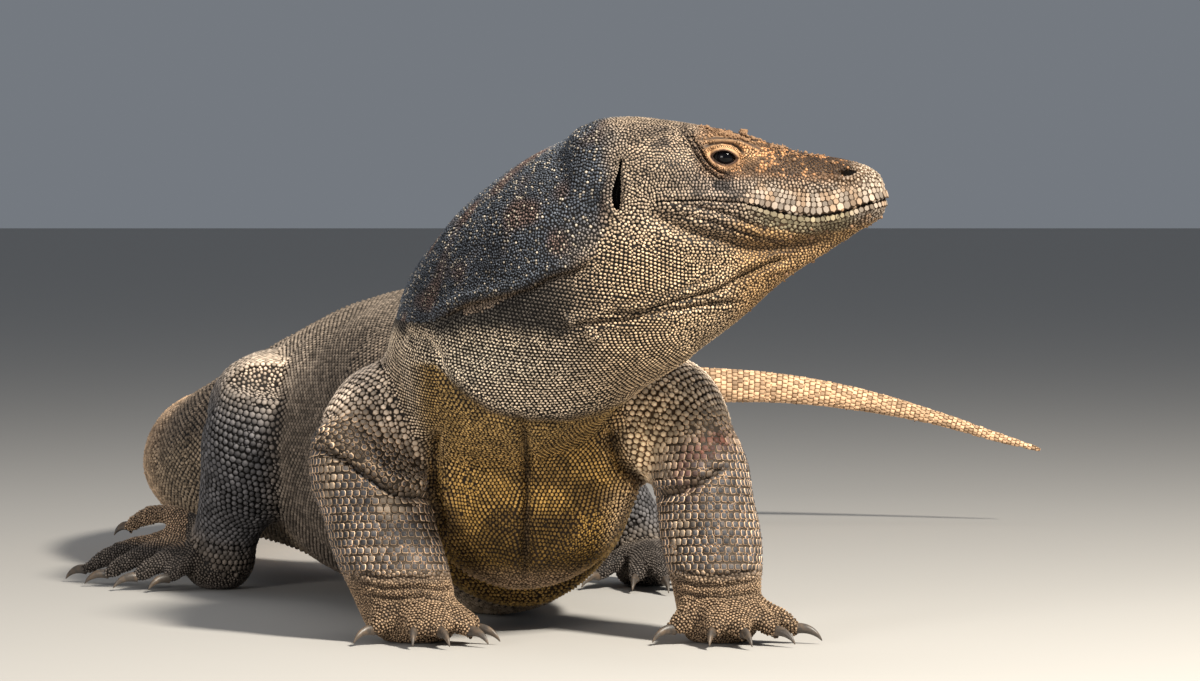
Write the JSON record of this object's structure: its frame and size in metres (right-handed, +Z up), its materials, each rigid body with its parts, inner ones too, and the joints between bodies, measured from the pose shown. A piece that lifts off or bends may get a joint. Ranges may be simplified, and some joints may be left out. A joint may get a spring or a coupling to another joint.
{
  "type": "komodo dragon",
  "caption": "Life-size still model of a Komodo dragon, chest propped on its forelegs, belly on the ground, head raised and turned to its left, tail curling behind.",
  "frame": {"origin": "on the floor under the middle of the belly, in the flat on which it lies", "axes": "+Z up; the animal faces -Y with its left side towards +X, and its tail runs back along +Y"},
  "size_m": [0.9307, 1.4649, 0.4048],
  "materials": {
    "head_skin": "dry pebbled scales, tan with near-black gaps, orange dust on the snout",
    "body_skin": "matte pebbled scales, golden brown on the chest, darker on the back",
    "tail_skin": "matte scales in fine rings, tan brown",
    "leg_skin": "slate-grey plates with tan borders, slight sheen",
    "foot_skin": "small wrinkled scales, dusty brown",
    "claw": "satin grey-brown horn, paler at the tips",
    "eye": "wet, nearly black"
  },
  "bodies": {
    "root": {"head": "head_skin", "lower_jaw": "head_skin", "neck": "head_skin", "chest": "body_skin", "belly": "body_skin", "hips": "body_skin", "tail_root": "tail_skin", "tail_bend": "tail_skin", "tail_middle": "tail_skin", "tail_tip": "tail_skin", "left_upper_arm": "leg_skin", "left_forearm": "leg_skin", "left_thigh": "leg_skin", "left_shank": "leg_skin", "right_upper_arm": "leg_skin", "right_forearm": "leg_skin", "right_thigh": "leg_skin", "right_shank": "leg_skin", "right_hand": "foot_skin", "left_hand": "foot_skin", "right_foot": "foot_skin", "left_foot": "foot_skin", "right_hand_claw_1": "claw", "right_hand_claw_2": "claw", "right_hand_claw_3": "claw", "right_hand_claw_4": "claw", "right_hand_claw_5": "claw", "left_hand_claw_1": "claw", "left_hand_claw_2": "claw", "left_hand_claw_3": "claw", "left_hand_claw_4": "claw", "left_hand_claw_5": "claw", "right_foot_claw_1": "claw", "right_foot_claw_2": "claw", "right_foot_claw_3": "claw", "right_foot_claw_4": "claw", "right_foot_claw_5": "claw", "left_foot_claw_1": "claw", "left_foot_claw_2": "claw", "left_foot_claw_3": "claw", "left_foot_claw_4": "claw", "left_foot_claw_5": "claw", "right_eye": "eye", "left_eye": "eye"}
  },
  "joints": []
}
